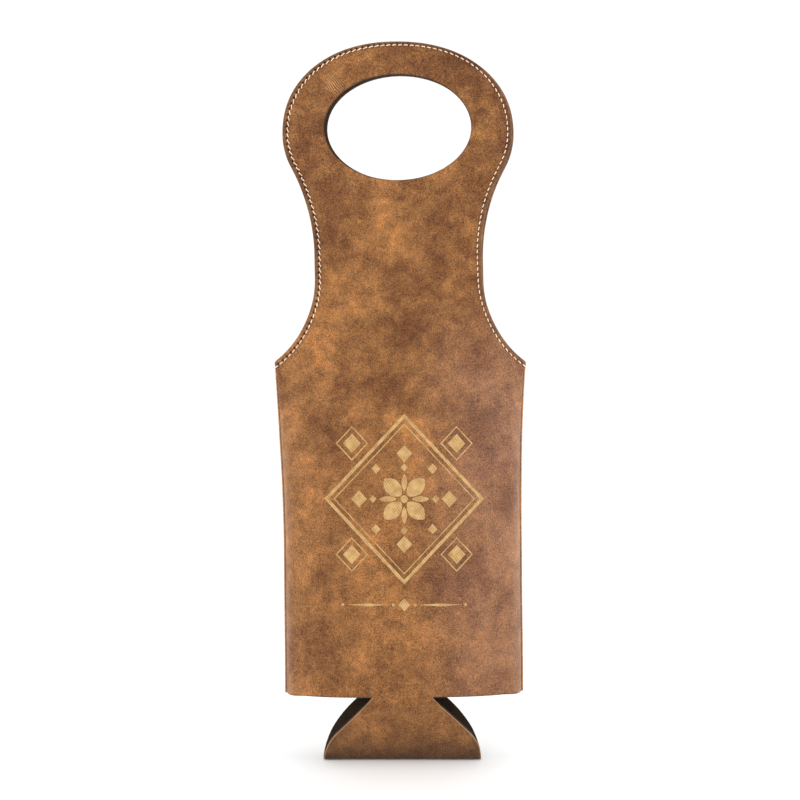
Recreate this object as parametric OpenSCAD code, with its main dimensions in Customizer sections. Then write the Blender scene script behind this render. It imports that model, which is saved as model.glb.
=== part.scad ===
// Soft carrier for one bottle. A front and a rear panel are sewn together down both sides and rise
// into two rounded handles with an oval hand hole. A round base hangs from the walls, folded in half.
// The origin is the middle of the hand hole, +Z is up and the front looks along -Y.

/* [Body] */
// Width of the body, from one side seam to the other
body_w = 142.6; // [134:0.2:148]
// Width across the shoulder corners, where the side seams end
shoulder_w = 150.8; // [146:0.2:158]
// Drop from the middle of the hand hole to the shoulder corners
shoulder_drop = 141; // [134:0.5:146]
// Drop to the level below which the body keeps its width
taper_drop = 225; // [200:1:260]
// Drop to the lower edge of the walls
wall_drop = 338.4; // [310:0.2:370]
// How far one wall stands out from the plane of the side seams
wall_bulge = 22; // [16:0.5:30]
// Drop to the level below which the walls keep their whole bulge
full_drop = 230; // [200:1:260]
// Drop to the level above which the two panels lie flat against each other
closed_drop = 35; // [32:0.5:50]

/* [Handles] */
// Width of the handle
handle_w = 139.4; // [134:0.2:146]
// Rise of the handle's top above the middle of the hand hole
handle_rise = 51.8; // [46:0.2:58]
// Drop from the middle of the hand hole to the handle's widest level
wide_drop = 1.6; // [0:0.2:5]
// Radius of the handle's sides below its widest level
cheek_r = 47; // [42:0.5:52]
// Radius of the hollow between the handle and its neck
throat_r = 110; // [90:1:120]
// Width of the neck
neck_w = 101.4; // [96:0.2:106]
// Radius of the flare from the neck to the shoulder corner
flare_r = 61; // [54:0.5:68]
// Drop to the line across the neck where the handle bends away
hinge_drop = 110; // [106:0.5:116]
// Slit left along that line between wall and handle
hinge_slit = 0.3; // [0.2:0.1:0.6]

/* [Hand hole] */
// Width of the oval hand hole
hole_w = 89.4; // [78:0.2:96]
// Height of the oval hand hole
hole_h = 63.6; // [54:0.2:68]

/* [Base] */
// Length of the crease that the round base is folded along
base_w = 94.6; // [86:0.2:100]
// Radius of the base's outline beside the crease
base_r = 34.2; // [30:0.2:38]
// Width of the neck that joins the base to a wall
base_neck_w = 35.8; // [28:0.2:42]
// Length of half the base, from its crease to the wall
base_flap = 47.3; // [42:0.1:52]
// Height of the neck's end that lies inside the wall
base_tuck = 1.5; // [1:0.1:3]

/* [Layers] */
// Thickness of the leatherette
face_t = 0.9; // [0.7:0.05:1.1]
// Thickness of the foam
foam_t = 1.3; // [1:0.05:1.8]
// Thickness of the woven lining
lining_t = 0.4; // [0.3:0.05:0.6]
// Space between the front and the rear panel where they meet
panel_gap = 0.3; // [0.2:0.05:0.5]
// Clearance between the base and the walls that it slides between
base_clearance = 0.4; // [0.3:0.05:0.8]

/* [Seams] */
// Distance from the edge to the topstitch
stitch_inset = 3; // [2.8:0.1:4]
// Distance from one topstitch to the next
stitch_pitch = 3.5; // [3:0.1:5]
// Length of one stitch
stitch_len = 2.7; // [2:0.1:2.9]
// Diameter of the thread
thread_d = 0.8; // [0.5:0.05:1]
// Distance from one stitch of a side seam to the next
seam_pitch = 5; // [4:0.5:8]
// Distance from the shoulder corner down to the end of the side seam
seam_stop = 5; // [3:0.5:8]
// Width of the turned-in seam allowance that keeps its whole thickness
allowance_w = 5; // [3:0.5:7]
// Width over which the allowance is pinched thin towards the seam
pinch_w = 10; // [8:0.5:12]
// Clearance between the pinched edge and the walls beside it
pinch_clearance = 0.6; // [0.4:0.05:0.9]

/* [Hidden] */

// Colours
leather_brown = [0.62, 0.40, 0.25];
foam_grey = [0.25, 0.23, 0.21];
lining_brown = [0.18, 0.13, 0.10];
thread_cream = [0.92, 0.80, 0.64];

// One overrun for every cut, and the small lift that keeps a stitch off the cloth below it
overrun = 5;
thread_lift = 0.08;
// Small radius of the lining inside the turned edge
edge_ease = 0.2;

// Shape of the bulge across a wall: 2 is a parabola, more is flatter in the middle
lens_power = 2.4;
// Power that squares the turned edge at the neck, where 1 leaves it round
square_power = 0.15;
// Power that draws the neck's rows together at the shoulder corner, where the wall turns most
row_power = 1.3;

// Steps of the curves
wall_cols = 12;
roll_steps = 3;
body_rows = 6;
neck_rows = 9;
profile_steps = 9;
crown_steps = 20;
cheek_steps = 7;
throat_steps = 8;
flare_steps = 6;
hole_steps = 64;
flap_steps = 10;
seam_rows = 6;

wall_t = face_t + foam_t + lining_t;
edge_r = wall_t + edge_ease;
flat_depth = panel_gap / 2 + wall_t;
seam_depth = panel_gap / 2 + edge_r;
z_hinge = -hinge_drop;
z_shoulder = -shoulder_drop;
z_wall = -wall_drop;
z_wide = -wide_drop;

body_hw = body_w / 2;
shoulder_hw = shoulder_w / 2;
neck_hw = neck_w / 2;
handle_hw = handle_w / 2;
span = max(shoulder_hw, handle_hw) + overrun;

// The throat's arc touches the cheek's arc, and the flare ends in the shoulder corner
cheek_x = handle_hw - cheek_r;
throat_x = neck_hw + throat_r;
z_throat = z_wide - sqrt(pow(cheek_r + throat_r, 2) - pow(throat_x - cheek_x, 2));
throat_angle = acos((throat_x - cheek_x) / (cheek_r + throat_r));
flare_x = neck_hw + flare_r;
z_flare = z_shoulder + sqrt(flare_r * flare_r - pow(flare_x - shoulder_hw, 2));

function smooth(t) = let (c = min(1, max(0, t))) c * c * (3 - 2 * c);
function unit(v) = v / norm(v);
function sign_of(x) = x < 0 ? -1 : 1;

// Outer face of a panel's middle, measured from the plane of the side seams
function bulge(z) = flat_depth
    + (wall_bulge - flat_depth) * smooth((-closed_drop - z) / (full_drop - closed_drop));

// Half the panel's width from the lower edge of the wall up to the neck
function wall_hw(z) =
    z > z_flare ? neck_hw
    : z >= z_shoulder ? flare_x - sqrt(flare_r * flare_r - pow(z - z_flare, 2))
    : z > -taper_drop ? body_hw
        + (shoulder_hw - body_hw) * pow((z + taper_drop) / (taper_drop - shoulder_drop), 2)
    : body_hw;

// 0 up to the shoulder corner, and 1 at the line where the handle bends
function neck_share(z) = smooth((z - z_shoulder) / (z_hinge - z_shoulder));
function edge_depth(z) = seam_depth + (bulge(z) - seam_depth) * neck_share(z);

// How steeply the wall leaves its edge in plan, and where its turned edge begins
function edge_slope(z) =
    atan((bulge(z) - edge_depth(z)) * lens_power / (wall_hw(z) - edge_r));
function lens_x(z) = wall_hw(z) - edge_r + edge_r * sin(edge_slope(z));
function lens_y(z) = edge_depth(z) - edge_r + edge_r * cos(edge_slope(z));
function wall_depth(x, z) = lens_y(z)
    + (bulge(z) - lens_y(z)) * (1 - pow(min(1, abs(x) / lens_x(z)), lens_power));
function plan_slope(x, z) = sign_of(x) * atan((bulge(z) - lens_y(z)) * lens_power
    * pow(abs(x) / lens_x(z), lens_power - 1) / lens_x(z));

// A turned edge seen in plan, from where the wall's curve ends to the plane of the side seam
function roll(z, off, a) =
    let (power = 1 - (1 - square_power) * neck_share(z), r = edge_r - off)
    [wall_hw(z) - edge_r + r * pow(cos(a), power),
     edge_r - edge_depth(z) - r * pow(sin(a), power), z];

// One layer boundary of the front wall at a level, from the left edge to the right
function level_line(z, off) =
    let (
        start = 90 - edge_slope(z),
        right = [for (i = [1:roll_steps]) roll(z, off, start * (1 - i / roll_steps))],
        left = [for (i = [roll_steps - 1:-1:0]) let (p = right[i]) [-p.x, p.y, z]],
        middle = [for (i = [0:wall_cols])
            let (x = lens_x(z) * sin(180 * i / wall_cols - 90), a = plan_slope(x, z))
            [x - off * sin(a), off * cos(a) - wall_depth(x, z), z]]
    )
    concat(left, middle, right);

function reversed(v) = [for (i = [len(v) - 1:-1:0]) v[i]];

// Solid through closed loops of equal length, lowest first. A loop runs along one line and back along
// the other, and both halves are split along the same diagonals, so that layers meet face to face.
module loft(loops) {
    n = len(loops[0]);
    half = n / 2;
    sides = [for (i = [0:len(loops) - 2], j = [0:n - 1])
        let (
            a = i * n + j,
            b = i * n + (j + 1) % n,
            c = b + n,
            d = a + n,
            back = j >= half,
            m = back ? n - 2 - j : j,
            rising = (m < (half - 1) / 2) != back
        )
        each rising ? [[a, d, c], [a, c, b]] : [[a, d, b], [d, c, b]]];
    top = (len(loops) - 1) * n;
    ends = [for (m = [0:half - 2])
        each [
            [m, m + 1, n - 2 - m, n - 1 - m],
            [top + n - 1 - m, top + n - 2 - m, top + m + 1, top + m]
        ]];
    polyhedron(points = [for (loop = loops) each loop], faces = concat(ends, sides), convexity = 6);
}

wall_levels = concat(
    [z_wall],
    [for (i = [0:body_rows]) -full_drop + (z_shoulder + full_drop) * i / body_rows],
    [for (i = [1:neck_rows])
        z_shoulder + (z_hinge - hinge_slit / 2 - z_shoulder) * pow(i / neck_rows, row_power)]);

module wall_layer(outer, inner)
    loft([for (z = wall_levels) concat(level_line(z, outer), reversed(level_line(z, inner)))]);

module front_wall_face() color(leather_brown) wall_layer(0, face_t);
module front_wall_foam() color(foam_grey) wall_layer(face_t, face_t + foam_t);
module front_wall_lining() color(lining_brown) wall_layer(face_t + foam_t, wall_t);
module rear_wall_face() mirror([0, 1, 0]) front_wall_face();
module rear_wall_foam() mirror([0, 1, 0]) front_wall_foam();
module rear_wall_lining() mirror([0, 1, 0]) front_wall_lining();

// Right half of the panel's outline above a low level, from that level up to the middle of the top
function outline_half(inset, low) =
    let (
        flare = flare_r + inset,
        throat = throat_r + inset,
        cheek = cheek_r - inset,
        rise = handle_rise + wide_drop,
        flare_end = asin((z_flare - low) / flare)
    )
    concat(
        [for (i = [0:flare_steps]) let (a = flare_end * (1 - i / flare_steps))
            [flare_x - flare * cos(a), z_flare - flare * sin(a)]],
        [for (i = [0:throat_steps]) let (a = throat_angle * i / throat_steps)
            [throat_x - throat * cos(a), z_throat + throat * sin(a)]],
        [for (i = [1:cheek_steps]) let (a = throat_angle * (1 - i / cheek_steps))
            [cheek_x + cheek * cos(a), z_wide - cheek * sin(a)]],
        [for (i = [1:crown_steps]) let (
                a = 90 * i / crown_steps,
                out = unit([rise * cos(a), handle_hw * sin(a)])
            )
            [handle_hw * cos(a), z_wide + rise * sin(a)] - inset * out]);

// The whole outline, from the low level on the left over the top to the low level on the right
function outline(inset, low) =
    let (right = outline_half(inset, low))
    concat([for (p = right) [-p.x, p.y]], [for (i = [len(right) - 2:-1:0]) right[i]]);

module outline_prism(inset, low)
    rotate([90, 0, 0])
        linear_extrude(wall_bulge + overrun)
            polygon(outline(inset, low));

// A slab that follows the side view of the panel from the hinge line up, between two layer boundaries
function profile_line(off) = concat(
    [[off - bulge(z_hinge - overrun), z_hinge - overrun]],
    [for (i = [0:profile_steps])
        let (z = z_hinge + (hinge_drop - closed_drop) * i / profile_steps) [off - bulge(z), z]],
    [[off - flat_depth, handle_rise + overrun]]);

module profile_slab(outer, inner)
    rotate([90, 0, 90])
        translate([0, 0, -span])
            linear_extrude(2 * span)
                polygon(concat(profile_line(outer), reversed(profile_line(inner))));

module hand_hole()
    rotate([90, 0, 0])
        translate([0, 0, -overrun])
            linear_extrude(flat_depth + 2 * overrun)
                polygon([for (i = [0:hole_steps - 1]) let (a = 360 * i / hole_steps)
                    [hole_w / 2 * cos(a), hole_h / 2 * sin(a)]]);

z_handle = z_hinge + hinge_slit / 2;

module handle_layer(outer, inner, inset)
    difference() {
        intersection() {
            profile_slab(outer, inner);
            outline_prism(inset, z_handle);
        }
        hand_hole();
    }

// The leatherette is turned round the edge of the foam and the lining
module front_handle_face()
    color(leather_brown)
        difference() {
            handle_layer(0, wall_t, 0);
            intersection() {
                profile_slab(face_t, wall_t + overrun);
                outline_prism(face_t, z_handle - overrun);
            }
        }
module front_handle_foam() color(foam_grey) handle_layer(face_t, face_t + foam_t, face_t);
module front_handle_lining() color(lining_brown) handle_layer(face_t + foam_t, wall_t, face_t);
module rear_handle_face() mirror([0, 1, 0]) front_handle_face();
module rear_handle_foam() mirror([0, 1, 0]) front_handle_foam();
module rear_handle_lining() mirror([0, 1, 0]) front_handle_lining();

// Half of a round thread, lying along Z with its flat side towards -X
module stitch()
    translate([0, 0, -stitch_len / 2])
        linear_extrude(stitch_len)
            intersection() {
                circle(d = thread_d, $fn = 24);
                translate([0, -thread_d])
                    square([thread_d, 2 * thread_d]);
            }

// Lays a stitch at a point, along one direction and with its round side along another
module lay_stitch(at, along, out) {
    side = cross(along, out);
    translate(at)
        rotate([atan2(side.z, along.z), -asin(out.z), atan2(out.y, out.x)])
            stitch();
}

// The topstitch follows the outline at its inset, one pitch after another
stitch_line = outline(stitch_inset, z_shoulder - stitch_inset);
stitch_runs = [for (i = [0:len(stitch_line) - 2]) norm(stitch_line[i + 1] - stitch_line[i])];
function run_before(i) = i == 0 ? 0 : stitch_runs[i - 1] + run_before(i - 1);
stitch_marks = [for (i = [0:len(stitch_line) - 1]) run_before(i)];
stitch_total = stitch_marks[len(stitch_marks) - 1];
stitch_count = floor(stitch_total / stitch_pitch);

function on_stitch_line(s, i = 0) =
    s <= stitch_marks[i + 1] || i == len(stitch_runs) - 1
        ? stitch_line[i] + (stitch_line[i + 1] - stitch_line[i]) * (s - stitch_marks[i]) / stitch_runs[i]
        : on_stitch_line(s, i + 1);

function panel_depth(x, z) = z > z_hinge ? bulge(z) : wall_depth(x, z);
function on_panel(p) = [p.x, -panel_depth(p.x, p.y) - thread_lift, p.y];

module topstitch(low, high) {
    probe = stitch_len / 4;
    for (i = [0:stitch_count - 1]) {
        s = (stitch_total - stitch_count * stitch_pitch) / 2 + (i + 0.5) * stitch_pitch;
        flat = on_stitch_line(s);
        reach = stitch_len / 2 + hinge_slit;
        if (flat.y - reach > low && flat.y + reach < high) {
            at = on_panel(flat);
            along = unit(on_panel(on_stitch_line(s + probe)) - on_panel(on_stitch_line(s - probe)));
            across = on_panel(flat + [probe, 0]) - on_panel(flat - [probe, 0]);
            upward = on_panel(flat + [0, probe]) - on_panel(flat - [0, probe]);
            rough = unit(cross(across, upward));
            lay_stitch(at, along, unit(rough - (rough * along) * along));
        }
    }
}

module front_handle_stitching() color(thread_cream) topstitch(z_hinge, handle_rise);
module front_shoulder_stitching()
    color(thread_cream) topstitch(z_shoulder - stitch_len - seam_stop, z_hinge);
module rear_handle_stitching() mirror([0, 1, 0]) front_handle_stitching();
module rear_shoulder_stitching() mirror([0, 1, 0]) front_shoulder_stitching();

// Inside each side seam the edges of both walls are turned in, pinched thin at the seam line
z_seam_top = z_shoulder - seam_stop;
function pinch_x(z) = wall_hw(z) - edge_r - pinch_clearance;
function seam_z(i) = z_wall + (z_seam_top - z_wall) * i / seam_rows;
seam_levels = concat(
    [z_wall],
    [for (i = [0:seam_rows]) -taper_drop + (z_seam_top + taper_drop) * i / seam_rows]);

module front_ply()
    loft([for (z = seam_levels) [
        [pinch_x(z) - pinch_w - allowance_w, -flat_depth, z],
        [pinch_x(z) - pinch_w, -flat_depth, z],
        [pinch_x(z), -panel_gap, z],
        [pinch_x(z), -panel_gap / 2, z],
        [pinch_x(z) - pinch_w, -panel_gap / 2, z],
        [pinch_x(z) - pinch_w - allowance_w, -panel_gap / 2, z]]]);

module right_seam_allowance()
    color(leather_brown) {
        front_ply();
        mirror([0, 1, 0])
            front_ply();
    }
module left_seam_allowance() mirror([1, 0, 0]) right_seam_allowance();

// The seam's thread shows as a row of stitches on each pinched side
seam_stitch_share = 0.3;
seam_run = z_seam_top - z_wall;
seam_count = floor(seam_run / seam_pitch);
function seam_point(z) = [
    pinch_x(z) - pinch_w * seam_stitch_share,
    -panel_gap - (flat_depth - panel_gap) * seam_stitch_share - thread_lift, z];

module seam_row() {
    out = unit([flat_depth - panel_gap, -pinch_w, 0]);
    for (i = [0:seam_count - 1]) {
        z = z_wall + (seam_run - seam_count * seam_pitch) / 2 + (i + 0.5) * seam_pitch;
        along = unit(seam_point(z + stitch_len / 2) - seam_point(z - stitch_len / 2));
        lay_stitch(seam_point(z), along, unit(out - (out * along) * along));
    }
}

module right_seam_thread()
    color(thread_cream) {
        seam_row();
        mirror([0, 1, 0])
            seam_row();
    }
module left_seam_thread() mirror([1, 0, 0]) right_seam_thread();

// The base is a round blank folded in half. It hangs just inside the walls' lower edge.
base_neck_hw = base_neck_w / 2;
base_depth = wall_depth(base_neck_hw, z_wall)
    - (wall_t / cos(plan_slope(base_neck_hw, z_wall))) - base_clearance;
base_angle = asin(base_depth / base_flap);
z_crease = z_wall + base_tuck - base_flap * cos(base_angle);

// Half the flat blank: crease along X, a round corner beside it, and straight sides to the neck
corner_x = base_w / 2 - base_r;
neck_reach = norm([base_neck_hw - corner_x, base_flap]);
corner_angle = atan2(base_flap, base_neck_hw - corner_x) - acos(base_r / neck_reach);
flap_side = concat(
    [for (i = [0:flap_steps]) let (a = corner_angle * i / flap_steps)
        [corner_x + base_r * cos(a), base_r * sin(a)]],
    [[base_neck_hw, base_flap]]);

module half_base(outer, inner)
    intersection() {
        translate([0, 0, z_crease])
            rotate([90 + base_angle, 0, 0])
                translate([0, 0, -inner])
                    linear_extrude(inner - outer)
                        polygon(concat(flap_side, [for (p = reversed(flap_side)) [-p.x, p.y]]));
        translate([-span, -wall_bulge, z_crease])
            cube([2 * span, wall_bulge, base_flap + overrun]);
    }

module base_layer(outer, inner) {
    half_base(outer, inner);
    mirror([0, 1, 0])
        half_base(outer, inner);
}

module base_face() color(leather_brown) base_layer(0, face_t);
module base_foam() color(foam_grey) base_layer(face_t, face_t + foam_t);
module base_lining() color(lining_brown) base_layer(face_t + foam_t, wall_t);

front_wall_face();
front_wall_foam();
front_wall_lining();
rear_wall_face();
rear_wall_foam();
rear_wall_lining();
left_seam_allowance();
right_seam_allowance();
left_seam_thread();
right_seam_thread();
front_shoulder_stitching();
rear_shoulder_stitching();
front_handle_face();
front_handle_foam();
front_handle_lining();
front_handle_stitching();
rear_handle_face();
rear_handle_foam();
rear_handle_lining();
rear_handle_stitching();
base_face();
base_foam();
base_lining();
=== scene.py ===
# A soft carrier for one bottle, dressed over its frame: leatherette, foam and lining, topstitched in cream.
import math

import bpy
import numpy as np
from mathutils import Matrix, Vector, noise
from mathutils.bvhtree import BVHTree
from mathutils.kdtree import KDTree


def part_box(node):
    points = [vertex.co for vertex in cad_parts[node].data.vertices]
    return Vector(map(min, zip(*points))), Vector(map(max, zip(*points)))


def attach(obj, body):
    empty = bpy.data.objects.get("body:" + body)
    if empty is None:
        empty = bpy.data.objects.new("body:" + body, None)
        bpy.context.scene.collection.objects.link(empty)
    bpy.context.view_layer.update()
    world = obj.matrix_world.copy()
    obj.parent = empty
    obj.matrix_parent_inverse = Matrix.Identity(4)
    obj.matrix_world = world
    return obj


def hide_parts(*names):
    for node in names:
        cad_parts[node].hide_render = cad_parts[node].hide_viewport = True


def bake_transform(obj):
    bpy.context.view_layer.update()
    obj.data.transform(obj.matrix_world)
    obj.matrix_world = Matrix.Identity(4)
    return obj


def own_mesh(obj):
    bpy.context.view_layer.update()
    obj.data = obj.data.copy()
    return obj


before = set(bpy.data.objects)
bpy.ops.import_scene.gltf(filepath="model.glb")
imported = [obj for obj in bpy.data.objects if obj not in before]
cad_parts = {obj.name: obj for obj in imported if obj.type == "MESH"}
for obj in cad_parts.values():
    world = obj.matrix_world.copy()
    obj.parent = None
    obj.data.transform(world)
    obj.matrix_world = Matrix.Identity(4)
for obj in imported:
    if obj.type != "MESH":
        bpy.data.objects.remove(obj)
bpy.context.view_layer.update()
for node_object in bpy.context.selected_objects:
    node_object.select_set(False)

# Leatherette skins. Each panel, front and rear, is one piece of embossed polyurethane on a knitted back,
# 0.9 mm thick, cut as a wall that narrows to a neck and widens again into a round handle. Round the handle
# its edge is turned over the foam and stitched down; down the body it rolls into the side seam.
MM = 0.001
wall_low, wall_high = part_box("front_wall_face")
handle_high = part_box("front_handle_face")[1]
wall_bottom = wall_low[2]
wall_bulge = -wall_low[1] - 1.0 * MM
shoulder_hw = wall_high[0] + 0.2 * MM
handle_hw = handle_high[0] - 0.6 * MM
handle_top = handle_high[2]
body_hw = 71.65 * MM
taper_power = 1.9
neck_hw = 50.2 * MM
shoulder_z = -141 * MM
taper_z = -250 * MM
full_z = -230 * MM
closed_z = -35 * MM
hinge_z = -110 * MM
wide_z = -3.6 * MM
cheek_r = 43 * MM
throat_r = 114 * MM
flare_r = 62 * MM
crown_power = 2.16
hole_a = (44.2 * MM, 43.9 * MM)
hole_b = 31.8 * MM
hole_x = 0.4 * MM
hole_turn = math.radians(1)
hole_cos, hole_sin = math.cos(hole_turn), math.sin(hole_turn)
face_t = 0.9 * MM
foam_t = 1.3 * MM
lining_t = 0.4 * MM
panel_t = face_t + foam_t + lining_t
panel_gap = 0.3 * MM
edge_r = panel_t / 2
lip_r = 0.5 * MM
seam_depth = 2.1 * MM
seam_step = 1.2 * MM
seam_play = 0.05 * MM
quarter_turn = math.pi / 2
fine_step = 0.1 * MM
edge_mark = 1.3 * MM
edge_spread = 3.0
flat_depth = panel_gap / 2 + panel_t

cheek_x = handle_hw - cheek_r
throat_x = neck_hw + throat_r
throat_z = wide_z - math.sqrt((cheek_r + throat_r) ** 2 - (throat_x - cheek_x) ** 2)
throat_angle = math.acos((throat_x - cheek_x) / (cheek_r + throat_r))
flare_x = neck_hw + flare_r
flare_z = shoulder_z + math.sqrt(flare_r**2 - (flare_x - shoulder_hw) ** 2)


def smooth(t):
    t = np.clip(t, 0, 1)
    return t * t * (3 - 2 * t)


def rise(measure, start, reach):
    """0 where a measure is at its start and 1 past its reach, both in millimetres."""
    return smooth((measure / MM - start) / reach)


def fade(gap, reach):
    """1 on a line, fading away on both sides of it in about so many millimetres."""
    return np.exp(-((gap / (reach * MM)) ** 2))


def unit(ways):
    return ways / np.linalg.norm(ways, axis=1, keepdims=True)


def aside(ways):
    return np.stack([ways[:, 1], -ways[:, 0]], 1)


def half_width(z):
    """Half the panel's width at any level below the throat."""
    spread = np.clip((z - taper_z) / (shoulder_z - taper_z), 0, 1) ** taper_power
    flare = flare_x - np.sqrt(np.maximum(flare_r**2 - (np.minimum(z, flare_z) - flare_z) ** 2, 0))
    return np.where(z >= shoulder_z, flare, body_hw + (shoulder_hw - body_hw) * spread)


def along(line):
    return np.concatenate([[0], np.cumsum(np.linalg.norm(np.diff(line, axis=0), axis=1))])


def resample(line, marks):
    run = along(line)
    return np.stack([np.interp(marks, run, line[:, k]) for k in range(line.shape[1])], 1)


def rim_outline(past_corner):
    """Right half of the handle's outline, from the flare at the shoulder up to the middle of the top."""
    arc_points, crown_points = 500, 1200

    def arc(cx, cz, r, start, end):
        angle = np.linspace(start, end, arc_points)
        return np.stack([cx + r * np.cos(angle), cz + r * np.sin(angle)], 1)

    low = math.asin((flare_z - shoulder_z) / flare_r) + past_corner
    angle = np.linspace(0, quarter_turn, crown_points)
    crown = np.stack([
        handle_hw * np.cos(angle) ** (2 / crown_power),
        wide_z + (handle_top - wide_z) * np.sin(angle) ** (2 / crown_power),
    ], 1)
    line = np.concatenate([
        arc(flare_x, flare_z, flare_r, math.pi + low, math.pi),
        arc(throat_x, throat_z, throat_r, math.pi, math.pi - throat_angle),
        arc(cheek_x, wide_z, cheek_r, -throat_angle, 0)[1:], crown[1:],
    ])
    run = along(line)
    return resample(line, np.linspace(0, run[-1], int(run[-1] / fine_step)))


side_points, hair = 1600, 1e-9
side_z = np.linspace(wall_bottom, shoulder_z, side_points)
side = np.stack([half_width(side_z - hair), side_z], 1)
right_half = np.concatenate([side, rim_outline(past_corner=0)[1:]])
half_run = along(right_half)[-1]
right_half = resample(right_half, np.linspace(0, half_run, int(half_run / fine_step)))

# The corner is rounded, as leatherette turns round it
corner_blur, blur_span, corner_reach = 7, 30, 60
corner_at = np.argmin(np.linalg.norm(right_half - [shoulder_hw, shoulder_z], axis=1))
kernel = np.exp(-0.5 * (np.arange(-blur_span, blur_span + 1) / corner_blur) ** 2)
kernel /= kernel.sum()
near = slice(corner_at - corner_reach, corner_at + corner_reach)
rounded = right_half.copy()
for k in range(2):
    rounded[near, k] = np.convolve(right_half[:, k], kernel, "same")[near]

# Marks along the edge: close together at the raw lower edge, then one every 1.3 mm
half_run = along(rounded)[-1]
raw_marks, raw_end = [0, 0.3 * MM, 0.7 * MM], 1.2 * MM
steps = int((half_run - raw_end) / edge_mark)
right = resample(rounded, np.concatenate([raw_marks, np.linspace(raw_end, half_run, steps)]))
right[-1, 0] = 0
path = np.concatenate([right * [-1, 1], right[-2::-1]])
N = len(path)
tangent = unit(np.gradient(path, axis=0))


def inward_at(spread):
    """The inward direction along the edge, which turns smoothly past the corner so that rows don't cross."""
    reach = math.ceil(3 * spread)
    blur = np.exp(-0.5 * (np.arange(-reach, reach + 1) / spread) ** 2)
    longer = np.pad(tangent, ((reach, reach), (0, 0)), "edge")
    turned = np.stack([np.convolve(longer[:, k], blur / blur.sum(), "valid") for k in range(2)], 1)
    return aside(unit(turned))


inward = inward_at(edge_spread)


# The walls stand a little open. Across the body each is a full curve that turns late into the side
# seam. Towards the neck it flattens, and the handles lie against each other.
body_boxy = 0.36
curve_power, boxy_gain, turn_power = 2.4, 3.3, 30


def bulge(z):
    return flat_depth + (wall_bulge - flat_depth) * smooth((closed_z - z) / (closed_z - full_z))


def rim_share(z):
    """0 where the side seam holds the edge and 1 where the edge is free."""
    return rise(z - shoulder_z, -5, 3.5)


def seam_inset(z, rear):
    """The rear panel is rolled round to the seam, so the front one ends a little short of the silhouette."""
    return 0 * z if rear else seam_step * (1 - rim_share(z))


def lens(z, rear):
    """Half width and depth where the wall's curve ends, its slope there, and how boxy it is."""
    boxy = body_boxy * rise(shoulder_z - z, 8, 45)
    neck_share = smooth((z - shoulder_z) / (hinge_z - shoulder_z))
    edge = edge_r + lip_r + seam_play + (-seam_depth if rear else seam_depth)
    edge = edge + (bulge(z) - edge) * neck_share
    reach = half_width(z) - seam_inset(z, rear)
    steep = (1 - boxy) * (curve_power + boxy_gain * boxy) + boxy * turn_power
    slope = np.arctan((bulge(z) - edge) * steep / (reach - edge_r))
    return reach - edge_r * (1 - np.sin(slope)), edge - edge_r * (1 - np.cos(slope)), slope, boxy


def depth(x, z, rear):
    """Distance of a panel's outer face from the plane between the handles."""
    lens_x, lens_y, _, boxy = lens(z, rear)
    u = np.minimum(1, np.abs(x) / lens_x)
    fall = (1 - boxy) * u ** (curve_power + boxy_gain * boxy) + boxy * u**turn_power
    return np.where(z > hinge_z, bulge(z), lens_y + (bulge(z) - lens_y) * (1 - fall))


def face_normal(x, z, rear):
    probe = 0.2 * MM
    dx = (depth(x + probe, z, rear) - depth(x - probe, z, rear)) / (2 * probe)
    dz = (depth(x, z + probe, rear) - depth(x, z - probe, rear)) / (2 * probe)
    return unit(np.stack([-dx, np.ones_like(dx), -dz], 1))


# The carrier doesn't hang quite true: its body leans to the right, its lower edge is cut a little
# aslant and droops at the seams, and the rear handle shows past the front one.
lean_levels = np.array([-339, -321, -285, -248, -212, -188, -164, -149, -141, -133, -122, -104,
                        -80, -43, -19, 17, 41, 51]) * MM
lean_shifts = np.array([2.2, 2.1, 1.7, 1.4, 0.75, 0.2, -0.1, -0.2, -0.15, -0.3, -0.45, -0.75,
                        -1.45, -2.0, -2.05, -2.0, -1.9, -2.1]) * MM
rear_shift = 1.3 * MM
edge_slant, edge_droop = 0.0075, 0.9 * MM


def settle(points, rear):
    """Points (x, outward depth, z) of a panel, put where they lie on the carrier."""
    x, y, z = points.T
    lean = np.interp(z, lean_levels, lean_shifts)
    if rear:
        lean = lean + rear_shift * rise(z, -152, 50)
    aslant = edge_slant * x * rise(-z, 200, 130)
    droop = edge_droop * rise(np.abs(x), 58, 11) * rise(-z, 332, 6)
    return np.stack([x + lean, y if rear else -y, z + aslant - droop], 1)


def new_piece(name, points, faces, attributes=None, flip=False):
    """A mesh object at the origin, from its points and faces."""
    mesh = bpy.data.meshes.new(name)
    faces = [list(map(int, f)) for f in faces]
    mesh.from_pydata([tuple(p) for p in points], [], [f[::-1] for f in faces] if flip else faces)
    for key, values in (attributes or {}).items():
        mesh.attributes.new(key, "FLOAT", "POINT").data.foreach_set("value", np.asarray(values, np.float32))
    mesh.shade_smooth()
    piece = bpy.data.objects.new(name, mesh)
    bpy.context.scene.collection.objects.link(piece)
    return piece


def push_out(piece, amounts):
    """Moves each vertex along its normal."""
    mesh = piece.data
    place, normal = np.empty((2, len(mesh.vertices) * 3), np.float32)
    mesh.vertices.foreach_get("co", place)
    mesh.vertex_normals.foreach_get("vector", normal)
    moved = place.reshape(-1, 3) + normal.reshape(-1, 3) * np.asarray(amounts, np.float32)[:, None]
    mesh.vertices.foreach_set("co", moved.reshape(-1))
    mesh.update()


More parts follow.
